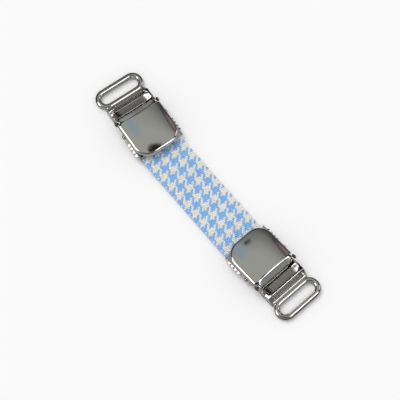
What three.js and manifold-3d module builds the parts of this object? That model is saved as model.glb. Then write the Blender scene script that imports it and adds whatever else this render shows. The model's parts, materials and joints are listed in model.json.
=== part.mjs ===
// Shirt stay: a short woven elastic strap with a chromed lever clip at each end.
// Millimetres, +Z up. The strap runs along X and the stay lies on the surface z = 0.
import * as THREE from 'three';
import { mergeVertices } from 'three/addons/utils/BufferGeometryUtils.js';
import Module from 'manifold-3d';

const wasm = await Module();
wasm.setup();

// Running gap between pieces that touch on the real stay, and how far the parts of one piece run together
const gap = 0.3;
const overlap = 0.2;

// Elastic strap, as it shows between the two levers, with what each clip grips
const strapWidth = 21.2;
const strapThickness = 1.3;
const strapShown = 55.2;
const strapGripped = 10.6;
const strapRise = 0.3;
const strapEase = 12.0;

// How each clip sits on its end of the strap
const turnA = -5.5;
const turnB = 2.0;
const sideStepA = 0.2;
const sideStepB = -0.3;

// Sheet metals
const baseSheet = 0.8;
const leverSheet = 0.7;
const jawSheet = 0.7;

// Lever: the domed cover plate. Its crease, where the plate turns down to the hinge, is x = 0 of a clip
const leverLength = 20.0;
const leverWidth = 22.8;
const leverHeight = 7.2;
const leverFall = 0.8;
const leverCrown = 0.9;
const leverCorner = 7.4;
const leverEdge = 1.3;
const creaseEdge = 0.5;
const lipRise = 0.4;
const lipNotch = 2.0;

// Hinge: a cross pin in the base's two ears, and the lever's roll around it
const hingeSetback = 1.9;
const hingeHeight = 4.9;
const pinDiameter = 1.1;
const pinGap = 0.25;
const rollWall = 0.5;
const pinHeadDiameter = 2.3;
const pinHeadThickness = 1.3;
const earRadius = 1.7;

// Base: the strap loop at the outer end, a low flat, a step up, and a drawn tray in front of the lever
const slotWidth = 19.5;
const slotLength = 5.1;
const barWidth = 2.5;
const barRoundness = 0.75;
const loopHeight = 2.4;
const flatHeight = 2.2;
const flatLength = 2.6;
const stepRun = 2.5;
const ridgeHeight = 5.8;
const ridgeSetback = 6.9;
const trayEndSetback = 2.2;
const trayFloor = 3.7;
const trayLip = 0.5;
const trayWall = 1.1;
const trayCorner = 2.6;
const trayRim = 0.7;
const neckInset = 0.7;
const rimFall = 0.8;
const neckRun = 0.6;
const floorLength = 17.3;
const cheekLength = 7.5;
const cheekHeight = 4.9;
const cheekCorner = 1.6;
const cheekFall = 0.4;

// Toothed jaw: a flat spring plate over the strap, hung in the cheeks by two studs with round heads
const jawWidth = 24.8;
const jawBack = 3.2;
const jawShoulder = 8.0;
const jawLength = 18.6;
const studSetback = 4.6;
const studDiameter = 1.2;
const studHeadDiameter = 2.3;
const studHeadThickness = 1.6;
const toothPitch = 2.0;
const toothDepth = 0.8;
const toothDrop = 1.3;
const toothLean = 0.6;
const flangeTeeth = 5;

// Places worked out from the sizes above, in a clip's own frame
const hinge = { x: -hingeSetback, z: hingeHeight };
const boreRadius = pinDiameter / 2 + pinGap;
const rollRadius = boreRadius + rollWall;
const ridgeX = hinge.x - ridgeSetback;
const footX = ridgeX - stepRun;
const slotInnerX = footX - flatLength;
const loopX = slotInnerX - slotLength / 2;
const trayEndX = hinge.x - trayEndSetback;
const neckWidth = leverWidth - neckInset * 2;
const lipOuterY = leverWidth / 2;
const cheekOuterY = lipOuterY - leverSheet - gap;
const cheekInnerY = cheekOuterY - baseSheet;
const strapBottom = baseSheet + gap;
const strapTop = strapBottom + strapThickness;
const jawBottom = strapTop + gap;
const jawTop = jawBottom + jawSheet;
const jawTipY = jawWidth / 2;
const stud = { x: studSetback, z: (jawBottom + jawTop) / 2 };

const degrees = (angle) => THREE.MathUtils.degToRad(angle);

// Material finishes of the four kinds of piece
const chrome = new THREE.MeshStandardMaterial({ color: 0x9b9a95, metalness: 1, roughness: 0.08 });
const darkChrome = new THREE.MeshStandardMaterial({ color: 0x85847f, metalness: 1, roughness: 0.15 });
const steel = new THREE.MeshStandardMaterial({ color: 0xb4b3ae, metalness: 1, roughness: 0.25 });
const webbing = new THREE.MeshStandardMaterial({ color: 0xa9c4e2, metalness: 0, roughness: 0.85 });

// A closed mesh as a solid for joining and cutting, and back
function solidOf(geometry) {
  const bare = geometry.clone();
  bare.deleteAttribute('normal');
  bare.deleteAttribute('uv');
  const merged = mergeVertices(bare, 1e-4);
  const mesh = new wasm.Mesh({
    numProp: 3,
    vertProperties: new Float32Array(merged.attributes.position.array),
    triVerts: new Uint32Array(merged.index.array),
  });
  return new wasm.Manifold(mesh);
}

function geometryOf(solid) {
  const mesh = solid.getMesh();
  const geometry = new THREE.BufferGeometry();
  geometry.setAttribute('position', new THREE.BufferAttribute(mesh.vertProperties, 3));
  geometry.setIndex(new THREE.BufferAttribute(mesh.triVerts, 1));
  geometry.computeVertexNormals();
  return geometry;
}

const join = (solids) => solids.reduce((whole, next) => whole.add(next));

// A box between two corners
function block(x0, x1, y0, y1, z0, z1) {
  const box = new THREE.BoxGeometry(x1 - x0, y1 - y0, z1 - z0);
  box.translate((x0 + x1) / 2, (y0 + y1) / 2, (z0 + z1) / 2);
  return solidOf(box);
}

// The stretch from a to b across the clip, on its left side (1) or its right (-1), lowest first
const sideSpan = (side, a, b) => [side * a, side * b].sort((p, q) => p - q);

// A round bar across the clip, from y0 to y1
function crossBar(at, radius, y0, y1, sides = 20) {
  const bar = new THREE.CylinderGeometry(radius, radius, y1 - y0, sides);
  bar.translate(at.x, (y0 + y1) / 2, at.z);
  return solidOf(bar);
}

// An outline in the x-z plane, made solid from y0 to y1
function sideways(shape, y0, y1, curveSegments = 8) {
  const slab = new THREE.ExtrudeGeometry(shape, {
    depth: y1 - y0, bevelEnabled: false, curveSegments,
  });
  slab.rotateX(Math.PI / 2);
  slab.translate(0, y1, 0);
  return solidOf(slab);
}

// An outline in the x-y plane, made solid from z0 to z1
function upright(shape, z0, z1, curveSegments = 8) {
  const slab = new THREE.ExtrudeGeometry(shape, {
    depth: z1 - z0, bevelEnabled: false, curveSegments,
  });
  slab.translate(0, 0, z0);
  return solidOf(slab);
}

function polygon(points) {
  return new THREE.Shape(points.map(([a, b]) => new THREE.Vector2(a, b)));
}

// A solid over stations along x and shares across y, between an upper and a lower surface
function surfaceSolid(stations, shares, halfWidth, upper, lower, middle = () => 0) {
  const across = shares.length;
  const count = stations.length * across;
  const positions = [];
  for (const surface of [upper, lower]) {
    for (const x of stations) {
      for (const share of shares) {
        const y = middle(x) + share * halfWidth(x);
        positions.push(x, y, surface(x, y));
      }
    }
  }
  const triangles = [];
  const quad = (a, b, c, d) => triangles.push(a, b, c, a, c, d);
  const at = (i, j) => i * across + j;
  const last = { i: stations.length - 1, j: across - 1 };
  for (let i = 0; i < last.i; i += 1) {
    for (let j = 0; j < last.j; j += 1) {
      const corners = [at(i, j), at(i + 1, j), at(i + 1, j + 1), at(i, j + 1)];
      const [a, b, c, d] = shares[j] < 0 ? [...corners.slice(1), corners[0]] : corners;
      quad(a, b, c, d);
      quad(count + a, count + d, count + c, count + b);
    }
    quad(at(i, 0), count + at(i, 0), count + at(i + 1, 0), at(i + 1, 0));
    quad(at(i, last.j), at(i + 1, last.j), count + at(i + 1, last.j), count + at(i, last.j));
  }
  for (let j = 0; j < last.j; j += 1) {
    quad(at(0, j), at(0, j + 1), count + at(0, j + 1), count + at(0, j));
    quad(at(last.i, j), count + at(last.i, j), count + at(last.i, j + 1), at(last.i, j + 1));
  }
  const geometry = new THREE.BufferGeometry();
  geometry.setAttribute('position', new THREE.Float32BufferAttribute(positions, 3));
  geometry.setIndex(triangles);
  return solidOf(geometry);
}

// Even steps from a to b
const steps = (a, b, n) => Array.from({ length: n + 1 }, (_, i) => a + ((b - a) * i) / n);

// Shares across, from -1 to 1, closer together towards the two edges
const edgeShares = (n) => steps(-1, 1, n).map((s) => Math.sin((s * Math.PI) / 2));

const smooth = (t) => {
  const k = THREE.MathUtils.clamp(t, 0, 1);
  return k * k * (3 - 2 * k);
};

const mix = (a, b, t) => a + (b - a) * t;

// Strap loop: a rounded bar bent into a long ring that lies on its side
function strapLoop() {
  const straight = slotWidth / 2 - slotLength / 2;
  const radius = slotLength / 2 + barWidth / 2;
  const turnSteps = 8;
  const route = [];
  for (const side of [1, -1]) {
    for (let k = 0; k <= turnSteps; k += 1) {
      const angle = mix(Math.PI / 2, -Math.PI / 2, k / turnSteps);
      const out = new THREE.Vector2(side * Math.sin(angle), side * Math.cos(angle));
      route.push({ centre: new THREE.Vector2(loopX, side * straight), out });
    }
  }
  const sectionSides = 12;
  const positions = [];
  for (const { centre, out } of route) {
    for (let k = 0; k < sectionSides; k += 1) {
      const angle = (2 * Math.PI * k) / sectionSides;
      const soft = (v) => Math.sign(v) * Math.abs(v) ** barRoundness;
      const reach = radius + (barWidth / 2) * soft(Math.cos(angle));
      const z = (loopHeight / 2) * (1 + soft(Math.sin(angle)));
      positions.push(centre.x + out.x * reach, centre.y + out.y * reach, z);
    }
  }
  const triangles = [];
  for (let i = 0; i < route.length; i += 1) {
    const next = (i + 1) % route.length;
    for (let k = 0; k < sectionSides; k += 1) {
      const up = (k + 1) % sectionSides;
      const a = i * sectionSides + k;
      const b = next * sectionSides + k;
      const c = next * sectionSides + up;
      const d = i * sectionSides + up;
      triangles.push(a, b, c, a, c, d);
    }
  }
  const geometry = new THREE.BufferGeometry();
  geometry.setAttribute('position', new THREE.Float32BufferAttribute(positions, 3));
  geometry.setIndex(triangles);
  return solidOf(geometry);
}

// Height of the base's drawn sheet: low flat, step, ridge, and the tray sunk behind the ridge
function trayTop(x, y) {
  const step = mix(flatHeight, ridgeHeight, smooth((x - footX) / stepRun));
  const along = THREE.MathUtils.clamp((x - ridgeX) / (trayEndX - ridgeX), 0, 1);
  const rim = step - rimFall * along;
  const halfLength = (trayEndX - ridgeX) / 2 + trayCorner;
  const middle = trayEndX - halfLength + 2 * trayCorner;
  const corner = trayCorner;
  const dx = Math.abs(x - middle) - (halfLength - corner);
  const dy = Math.abs(y) - (neckWidth / 2 - trayRim - corner);
  const outside = Math.hypot(Math.max(dx, 0), Math.max(dy, 0)) + Math.min(Math.max(dx, dy), 0) - corner;
  const sunk = smooth(-outside / trayWall);
  const floor = trayFloor + trayLip * smooth(along * 2 - 1);
  return mix(rim, Math.min(rim, floor), sunk);
}

// The same sheet's underside, a sheet's thickness inside it on all sides
function trayUnder(x, y) {
  const around = [[0, 0], [-1, 0], [1, 0], [0, -1], [0, 1]];
  const lowest = Math.min(...around.map(([i, j]) => trayTop(x + i * baseSheet, y + j * baseSheet)));
  return lowest - baseSheet;
}

function drawnTray() {
  const joinX = slotInnerX + barWidth * 0.6;
  const wide = neckWidth / 2;
  const narrow = wide - trayRim;
  const neckX = footX - neckRun;
  const wallX = ridgeX + trayWall;
  const stations = [
    joinX, neckX, ...steps(footX, ridgeX, 6), ...steps(ridgeX, wallX, 4).slice(1),
    ...steps(wallX, trayEndX, 5).slice(1),
  ];
  const halfWidth = (x) => mix(narrow, wide, smooth((x - neckX) / neckRun));
  const shares = [-1, -0.96, -0.92, -0.88, -0.84, -0.79, -0.72, -0.62, -0.45, -0.2];
  const allShares = [...shares, ...shares.map((s) => -s).reverse()];
  const body = surfaceSolid(stations, allShares, halfWidth, trayTop, () => 0);
  const inner = stations.filter((x) => x > neckX + overlap);
  const hollow = surfaceSolid(
    [...inner, trayEndX + 1], allShares, () => wide - baseSheet,
    (x, y) => Math.max(trayUnder(x, y), -baseSheet / 2), () => -1,
  );
  return body.subtract(hollow);
}

// One side of the base beside the lever: an ear round the hinge pin that falls to a low cheek
function cheekOutline() {
  const shape = new THREE.Shape();
  const start = trayEndX - baseSheet - overlap;
  const shoulderX = hinge.x + earRadius;
  const cornerTop = cheekHeight - cheekFall;
  shape.moveTo(start, 0);
  shape.lineTo(cheekLength, 0);
  shape.lineTo(cheekLength, cornerTop - cheekCorner);
  shape.quadraticCurveTo(cheekLength, cornerTop, cheekLength - cheekCorner, cornerTop);
  shape.lineTo(shoulderX + 1, cheekHeight);
  shape.lineTo(shoulderX, hinge.z + cheekFall);
  shape.absarc(hinge.x, hinge.z, earRadius, degrees(15), degrees(145), false);
  shape.lineTo(start, trayFloor + 1);
  shape.closePath();
  return shape;
}

function base() {
  const floor = block(trayEndX - overlap, floorLength, -cheekOuterY, cheekOuterY, 0, baseSheet);
  const wallY = cheekInnerY + overlap;
  const wallTop = trayFloor + trayLip - overlap / 2;
  const backWall = block(trayEndX - baseSheet, trayEndX, -wallY, wallY, 0, wallTop);
  const cheeks = [1, -1].map((side) => sideways(cheekOutline(), ...sideSpan(side, cheekInnerY, cheekOuterY)));
  const studHoles = crossBar(stud, studDiameter / 2 + gap, -neckWidth, neckWidth);
  const pinHole = crossBar(hinge, boreRadius, -neckWidth, neckWidth);
  const metal = join([strapLoop(), drawnTray(), floor, backWall, ...cheeks]);
  return metal.subtract(studHoles).subtract(pinHole);
}

// Half width of the lever's outline, which rounds in towards its free end
function leverHalf(x, inset = 0) {
  const corner = leverCorner - inset;
  const into = x - (leverLength - leverCorner);
  const full = leverWidth / 2 - inset;
  if (into <= 0) return full;
  return full - corner + Math.sqrt(Math.max(corner * corner - into * into, 0));
}

// How far inside the lever's outline a point is
function leverInside(x, y) {
  const dx = x - (leverLength - leverCorner);
  const dy = Math.abs(y) - (leverWidth / 2 - leverCorner);
  if (dx > 0 && dy > 0) return leverCorner - Math.hypot(dx, dy);
  return Math.min(leverCorner - dx, leverCorner - dy);
}

// Height of the lever's domed top, rounded down at its edges
function leverTop(x, y) {
  const along = x / leverLength;
  const across = Math.abs(y) / (leverWidth / 2);
  const crown = leverCrown * smooth(along * 2);
  const dome = leverHeight - leverFall * along * along - crown * across * across;
  const inside = THREE.MathUtils.clamp(leverInside(x, y), 0, leverEdge);
  const rounding = leverEdge - Math.sqrt(leverEdge ** 2 - (leverEdge - inside) ** 2);
  return dome - rounding;
}

// Side view of what is cut from under the lips, so that they clear the hinge and land on the jaw
function lipCutter() {
  const low = jawTop + gap;
  const studTop = stud.z + studHeadDiameter / 2 + gap;
  return sideways(polygon([
    [-1, -1], [leverLength + 1, -1],
    [leverLength + 1, low + lipRise], [leverLength - leverEdge, low + lipRise],
    [stud.x + lipNotch * 2, low], [stud.x + lipNotch, studTop],
    [stud.x - lipNotch, studTop + gap], [-1, hinge.z + 1],
  ]), -leverWidth, leverWidth);
}

// The lever's turned-down front: from the crease to the roll around the hinge pin, on the roll's tangent
function leverFront() {
  const half = cheekInnerY - gap;
  const roll = crossBar(hinge, rollRadius, -half, half, 24);
  const toCrease = new THREE.Vector2(-hinge.x, leverHeight - hinge.z);
  const angle = toCrease.angle() + Math.acos(rollRadius / toCrease.length());
  const onRoll = (radius) => [hinge.x + radius * Math.cos(angle), hinge.z + radius * Math.sin(angle)];
  const insideCrease = creaseEdge * 0.4;
  const sliver = 0.02;
  const strip = sideways(polygon([
    onRoll(rollRadius - sliver), [insideCrease, leverHeight - insideCrease],
    [leverSheet * 2, leverHeight - leverSheet - overlap / 2], onRoll(rollRadius - leverSheet),
  ]), -half, half);
  return [roll, strip];
}

function lever() {
  const cornerX = leverLength - leverCorner;
  const turns = steps(0, 85, 7).map((angle) => cornerX + leverCorner * Math.sin(degrees(angle)));
  const flat = [leverEdge, ...steps(leverEdge * 2, cornerX, 3)];
  const stations = [0, creaseEdge * 0.25, creaseEdge * 0.8, ...flat, ...turns.slice(1), leverLength];
  const shares = edgeShares(18);
  const front = (x) => creaseEdge * (1 - Math.sqrt(1 - (1 - Math.min(x / creaseEdge, 1)) ** 2));
  const outer = surfaceSolid(
    stations, shares, (x) => leverHalf(x), (x, y) => leverTop(x, y) - front(x), () => jawTop,
  );
  const innerEnd = leverLength - leverSheet;
  const widen = leverWidth / (leverWidth - leverSheet * 2);
  const lengthen = leverLength / innerEnd;
  const inner = surfaceSolid(
    [-1, ...flat, ...turns.slice(1, -1), innerEnd], shares, (x) => leverHalf(x, leverSheet),
    (x, y) => leverTop(Math.min(Math.max(x, 0) * lengthen, leverLength), y * widen) - leverSheet,
    () => jawTop - 1,
  );
  const shell = outer.subtract(inner).subtract(lipCutter());
  return join([shell, ...leverFront()]).subtract(crossBar(hinge, boreRadius, -leverWidth, leverWidth));
}

// Hinge pin: a bar through both ears with a round head outside each
function hingePin() {
  const seat = cheekOuterY + gap;
  const end = seat + pinHeadThickness;
  const crownRadius = pinHeadDiameter * 0.35;
  const heads = [1, -1].flatMap((side) => [
    crossBar(hinge, pinHeadDiameter / 2, ...sideSpan(side, seat, end - pinHeadThickness * 0.3), 16),
    crossBar(hinge, crownRadius, ...sideSpan(side, seat, end), 16),
  ]);
  return join([crossBar(hinge, pinDiameter / 2, -seat - overlap, seat + overlap, 16), ...heads]);
}

// The jaw's outline from above, with its saw-toothed sides and front
function jawOutline() {
  const narrow = cheekInnerY - gap;
  const half = [[jawBack, narrow], [jawShoulder, narrow]];
  const sideTeeth = Math.floor((jawLength - jawShoulder) / toothPitch);
  for (let k = 0; k < sideTeeth; k += 1) {
    const x = jawShoulder + k * toothPitch;
    half.push([x + overlap, jawTipY - toothDepth], [x + toothPitch * toothLean, jawTipY]);
  }
  half.push([jawLength, jawTipY - toothDepth * 1.5]);
  const frontY = jawTipY - toothDepth * 2;
  const frontTeeth = Math.floor(frontY / toothPitch);
  for (let k = 0; k < frontTeeth; k += 1) {
    const y = frontY - (k + 0.5) * toothPitch;
    half.push([jawLength - toothDepth, y + toothPitch / 4], [jawLength, y - toothPitch / 4]);
  }
  const other = half.map(([x, y]) => [x, -y]).reverse();
  return polygon([...half, ...other]);
}

function jaw() {
  const plate = upright(jawOutline(), jawBottom, jawTop);
  const inner = jawTipY - toothDepth - jawSheet;
  const flangeStart = jawLength - flangeTeeth * toothPitch - overlap;
  const rootZ = jawBottom - overlap;
  const buriedZ = jawTop - overlap / 2;
  const teeth = [[flangeStart, buriedZ], [flangeStart, rootZ]];
  for (let k = 0; k < flangeTeeth; k += 1) {
    const x = flangeStart + k * toothPitch;
    teeth.push([x + toothPitch / 2, jawBottom - toothDrop], [x + toothPitch, rootZ]);
  }
  teeth.push([flangeStart + flangeTeeth * toothPitch, buriedZ]);
  const seat = cheekOuterY + gap;
  const sides = [1, -1].flatMap((side) => {
    const flange = sideSpan(side, inner, inner + jawSheet);
    const shank = sideSpan(side, cheekInnerY - gap - overlap, seat + overlap);
    const head = sideSpan(side, seat, seat + studHeadThickness);
    return [
      sideways(polygon(teeth), ...flange),
      crossBar(stud, studDiameter / 2, ...shank, 16),
      crossBar(stud, studHeadDiameter / 2, ...head, 16),
    ];
  });
  return join([plate, ...sides]);
}

// Middle line of the strap: straight between the clips, easing into each clip's own direction
function strapMiddle(x) {
  const end = strapShown / 2;
  const share = THREE.MathUtils.clamp((x + end) / strapShown, 0, 1);
  const straight = mix(sideStepA, sideStepB, share);
  const ease = (away) => (away < strapEase ? away * (1 - Math.max(away, 0) / strapEase) ** 2 : 0);
  return straight + Math.tan(degrees(turnA)) * ease(x + end) - Math.tan(degrees(turnB)) * ease(end - x);
}

// Elastic strap: a flat band whose ends lie in the jaws and whose middle settles to the surface
function strap() {
  const shownHalf = strapShown / 2;
  const ends = steps(-shownHalf - strapGripped, -shownHalf, 2);
  const shown = steps(-shownHalf, shownHalf, 20).slice(1, -1);
  const stations = [...ends, ...shown, ...ends.map((x) => -x).reverse()];
  const bottom = (x) => mix(strapRise, strapBottom, smooth(Math.abs(x) / shownHalf));
  const top = (x) => bottom(x) + strapThickness;
  return surfaceSolid(stations, [-1, -0.5, 0, 0.5, 1], () => strapWidth / 2, top, bottom, strapMiddle);
}

function piece(name, solid, material) {
  const mesh = new THREE.Mesh(geometryOf(solid), material);
  mesh.name = name;
  return mesh;
}

// One clip in its own frame, which its place on the strap then turns and carries
function clip(letter, tip, turn) {
  const group = new THREE.Group();
  group.add(piece(`base_${letter}`, base(), chrome));
  group.add(piece(`lever_${letter}`, lever(), chrome));
  group.add(piece(`hinge_pin_${letter}`, hingePin(), darkChrome));
  group.add(piece(`jaw_${letter}`, jaw(), steel));
  group.rotation.z = degrees(turn);
  const reach = new THREE.Vector2(leverLength, 0).rotateAround(new THREE.Vector2(), degrees(turn));
  group.position.set(tip.x - reach.x, tip.y - reach.y, 0);
  return group;
}

const stay = new THREE.Group();
stay.add(clip('a', { x: -strapShown / 2, y: sideStepA }, turnA));
stay.add(clip('b', { x: strapShown / 2, y: sideStepB }, 180 + turnB));
stay.add(piece('strap', strap(), webbing));

// The origin is under the middle of the whole stay
stay.updateMatrixWorld(true);
const middle = new THREE.Box3().setFromObject(stay, true).getCenter(new THREE.Vector3());
stay.position.set(-middle.x, -middle.y, 0);

export default stay;
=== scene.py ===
# %% [markdown]
# # A shirt stay
# A shirt stay is a short elastic strap with a bright metal clip at each end. It holds a shirt down
# to a sock. This lesson dresses a finished mechanical model of one: the frame already says where
# each part is and which parts move, so every piece made here is laid in the same place as its part.
# All lengths are written in millimetres and turned to metres once, where a mesh is made.

# %% Load the frame
import json
import math

import bmesh
import bpy
import numpy as np
from mathutils import Matrix, Vector


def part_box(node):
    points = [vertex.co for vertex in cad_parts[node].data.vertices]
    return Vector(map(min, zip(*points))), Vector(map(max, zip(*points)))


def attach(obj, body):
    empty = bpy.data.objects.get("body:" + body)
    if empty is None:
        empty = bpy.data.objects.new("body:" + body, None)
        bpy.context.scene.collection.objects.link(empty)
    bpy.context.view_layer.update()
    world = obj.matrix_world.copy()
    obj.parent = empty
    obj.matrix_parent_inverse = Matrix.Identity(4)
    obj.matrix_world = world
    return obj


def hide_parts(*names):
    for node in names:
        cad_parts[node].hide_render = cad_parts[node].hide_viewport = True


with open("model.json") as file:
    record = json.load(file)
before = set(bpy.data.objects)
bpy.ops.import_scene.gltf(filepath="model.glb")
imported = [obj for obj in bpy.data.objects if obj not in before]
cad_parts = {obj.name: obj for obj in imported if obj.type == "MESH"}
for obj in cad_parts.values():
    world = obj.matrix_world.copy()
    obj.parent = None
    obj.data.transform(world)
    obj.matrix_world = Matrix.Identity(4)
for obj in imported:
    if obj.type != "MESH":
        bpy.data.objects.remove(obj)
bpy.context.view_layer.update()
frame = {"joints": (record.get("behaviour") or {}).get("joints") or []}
MM = 0.001

# %% [markdown]
# ## The camera
# The stay was photographed from above and a little to one side, with a long lens, so near and far
# ends keep almost the same size. A camera can be turned by hand until it looks right, or worked out
# from where it stands. Here it is given as a distance and a height angle round a target, and its
# turn is worked out from those, because then the strap's slope in the picture can be set by itself.

# %% Camera
CAMERA_DISTANCE = 788.0
CAMERA_HEIGHT_ANGLE = math.radians(70.0)
CAMERA_SIDE_ANGLE = math.radians(-40.0)
CAMERA_TARGET = Vector((0.73, -3.58, 0.0))
LENS_MM = 157.0

toward_camera = Vector((
    math.cos(CAMERA_SIDE_ANGLE) * math.cos(CAMERA_HEIGHT_ANGLE),
    math.sin(CAMERA_SIDE_ANGLE) * math.cos(CAMERA_HEIGHT_ANGLE),
    math.sin(CAMERA_HEIGHT_ANGLE),
))
camera_data = bpy.data.cameras.new("long_lens")
camera_data.lens = LENS_MM
camera = bpy.data.objects.new("camera", camera_data)
camera.location = (CAMERA_TARGET + toward_camera * CAMERA_DISTANCE) * MM
camera.rotation_euler = (-toward_camera).to_track_quat("-Z", "Y").to_euler()
bpy.context.scene.collection.objects.link(camera)
bpy.context.scene.camera = camera
print("camera at", [round(value, 3) for value in camera.location])

# %% [markdown]
# ## Nodes and colours
# Materials are built from nodes in the script. One small function adds a node with its settings and
# links, which keeps each material short enough to read. Colours are picked as screen colours, so a
# second function turns them to the linear values that the renderer works in.

# %% Node and colour helpers
def add_node(tree, kind, inputs=None, **settings):
    """Adds a node; an input is a value, a socket, or a node, whose first output feeds it."""
    node = tree.nodes.new(kind)
    for name, value in settings.items():
        setattr(node, name, value)
    for key, value in (inputs or {}).items():
        socket = node.inputs[key]
        if isinstance(value, bpy.types.Node):
            value = value.outputs[0]
        if isinstance(value, bpy.types.NodeSocket):
            tree.links.new(value, socket)
        else:
            socket.default_value = value
    return node


def linear(hex_colour, alpha=1.0):
    """The linear colour of an sRGB hex value such as 5fa0e1, by the sRGB standard's own curve."""
    channels = [int(hex_colour[start:start + 2], 16) / 255 for start in (0, 2, 4)]
    bent = [c / 12.92 if c <= 0.04045 else ((c + 0.055) / 1.055) ** 2.4 for c in channels]
    return (*bent, alpha)


print("mid grey in linear light:", round(linear("808080")[0], 3))

# %% [markdown]
# ## The room
# Chrome has hardly any colour of its own: what it shows is the room. So the room matters as much as
# the metal, and the photograph says what stood in it. The plates are an even mid grey, so a grey
# ceiling hangs over them. Every edge that faces lower left or lower right has a white line, so two
# soft boxes stand beside the camera, and every edge that faces away has a black one, so that side
# is dark. The white card is lit evenly all the same. One light can't do both, so matt surfaces see
# a plain soft sky here, and only the metal sees the room: bands of grey from the horizon up for
# its walls and ceiling, and round patches with soft edges for what stands in front of them.
# Directions are written as the picture shows them: to the right, up, and towards the ceiling.

# %% Directions in the picture
picture_right = Vector((-math.sin(CAMERA_SIDE_ANGLE), math.cos(CAMERA_SIDE_ANGLE), 0))
picture_up = Vector((-math.cos(CAMERA_SIDE_ANGLE), -math.sin(CAMERA_SIDE_ANGLE), 0))


def seen(right, up, height):
    """A direction or a place given as the picture shows it."""
    return picture_right * right + picture_up * up + Vector((0, 0, height))


print("up in the picture is", [round(value, 2) for value in picture_up])

# %% Bands and patches of the room
scene = bpy.context.scene
scene.view_settings.view_transform = "Standard"
DAYLIGHT = 0.72
DAYLIGHT_COLOUR = "fbfdff"
CEILING = 0.46
BAND_WARMTH = 0.95
# Each stop is a height, 0 at the horizon and 1 overhead, and how bright the room is there
BAND_STOPS = [
    (0.0, 0.08), (0.16, 0.18), (0.36, 0.14), (0.46, 0.01), (0.72, 0.01), (0.80, 0.12),
    (0.89, 0.28), (0.94, CEILING),
]
BELOW_LAMPS = 0.30
NEAR_EDGES = (0.0, 0.25)
SOFT_BOX = {"colour": "fff6f6", "power": 5.0}
LOW_BOX = {"colour": "fff6f6", "power": 3.0}
WINDOW = {"colour": "ffe4e8", "power": 2.5}
# A patch's spread is the degrees from its middle at which its edge starts and ends
ROOM_PATCHES = {
    "right soft box": {"toward": (0.42, -0.12, 0.90), "spread": (8, 12), **SOFT_BOX},
    "left soft box": {"toward": (-0.55, -0.05, 0.82), "spread": (9, 14), **SOFT_BOX},
    "left soft box, low": {"toward": (-0.78, -0.25, 0.57), "spread": (10, 14), **LOW_BOX},
    "right soft box, low": {"toward": (0.86, -0.22, 0.46), "spread": (6, 10), **LOW_BOX},
    "side window": {"toward": (0.76, 0.28, 0.58), "spread": (8, 13), **WINDOW},
    "pale wall": {"toward": (-0.172, 0.350, 0.921), "spread": (3, 7.5), "colour": "a0aeba"},
    "far door": {"toward": (-0.43, 0.84, 0.34), "spread": (4, 8), "colour": "a8a8a4"},
    "shelf edge": {"toward": (0.305, 0.482, 0.821), "spread": (5.5, 7.5), "colour": "4e4646"},
    "shelf": {"toward": (0.305, 0.482, 0.821), "spread": (3.5, 5.5), "colour": "957b7e"},
    "lamp stand": {"toward": (-0.07, 0.426, 0.90), "spread": (0.6, 2), "colour": "3a3632"},
    "dark screen": {"toward": (0.0, -0.34, 0.94), "spread": (16, 20), "colour": "2b2421"},
    "lens": {"toward": (0.03, 0.15, 0.988), "spread": (3.5, 6), "colour": "30241f"},
}
print("the room has", len(BAND_STOPS), "bands and", len(ROOM_PATCHES), "patches")

# %% A patch with a soft edge
def soft_patch(tree, direction, behind, toward, spread, colour, power=1.0):
    """Lays a round patch with a soft edge over what is behind it; spread is in degrees."""
    facing = add_node(tree, "ShaderNodeVectorMath", {
        0: direction,
        1: seen(*toward).normalized(),
    }, operation="DOT_PRODUCT")
    share = add_node(tree, "ShaderNodeMapRange", {
        "Value": facing.outputs["Value"],
        "From Min": math.cos(math.radians(spread[1])),
        "From Max": math.cos(math.radians(spread[0])),
    }, interpolation_type="SMOOTHSTEP")
    return add_node(tree, "ShaderNodeMixRGB", {
        "Fac": share,
        "Color1": behind,
        "Color2": [channel * power for channel in linear(colour)],
    })


widest = max(patch["spread"][1] for patch in ROOM_PATCHES.values())
print("the widest patch reaches", widest, "degrees from its middle")

# %% Room light
world = bpy.data.worlds.new("room")
scene.world = world
world.use_nodes = True
tree = world.node_tree
tree.nodes.clear()
direction = add_node(tree, "ShaderNodeTexCoord").outputs["Generated"]
height = add_node(tree, "ShaderNodeSeparateXYZ", {0: direction}).outputs["Z"]
bands = add_node(tree, "ShaderNodeValToRGB", {"Fac": height})
while len(bands.color_ramp.elements) < len(BAND_STOPS):
    bands.color_ramp.elements.new(0.5)
for element, (place, level) in zip(bands.color_ramp.elements, BAND_STOPS):
    element.position = place
    element.color = (level, level, level * BAND_WARMTH, 1.0)
nearness = add_node(tree, "ShaderNodeVectorMath", {
    0: direction,
    1: seen(0, -1, 0),
}, operation="DOT_PRODUCT")
near_side = add_node(tree, "ShaderNodeMapRange", {
    "Value": nearness.outputs["Value"],
    "From Min": NEAR_EDGES[0],
    "From Max": NEAR_EDGES[1],
}, interpolation_type="SMOOTHSTEP")
room_colour = add_node(tree, "ShaderNodeMixRGB", {
    "Fac": near_side,
    "Color1": bands,
    "Color2": (BELOW_LAMPS, BELOW_LAMPS, BELOW_LAMPS, 1.0),
})
for patch in ROOM_PATCHES.values():
    room_colour = soft_patch(tree, direction, room_colour, **patch)
room = add_node(tree, "ShaderNodeBackground", {"Color": room_colour, "Strength": 1.0})
sky = add_node(tree, "ShaderNodeBackground", {
    "Color": linear(DAYLIGHT_COLOUR),
    "Strength": DAYLIGHT,
})
seen_by_metal = add_node(tree, "ShaderNodeLightPath").outputs["Is Glossy Ray"]
both = add_node(tree, "ShaderNodeMixShader", {0: seen_by_metal, 1: sky, 2: room})
add_node(tree, "ShaderNodeOutputWorld", {"Surface": both})
print("the room is made of", len(tree.nodes), "nodes")

# %% Lamp
LAMP_TOWARD = (-0.42, 0.42, 0.80)
LAMP_ACROSS = math.radians(38)
LAMP_POWER = 1.25

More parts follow.
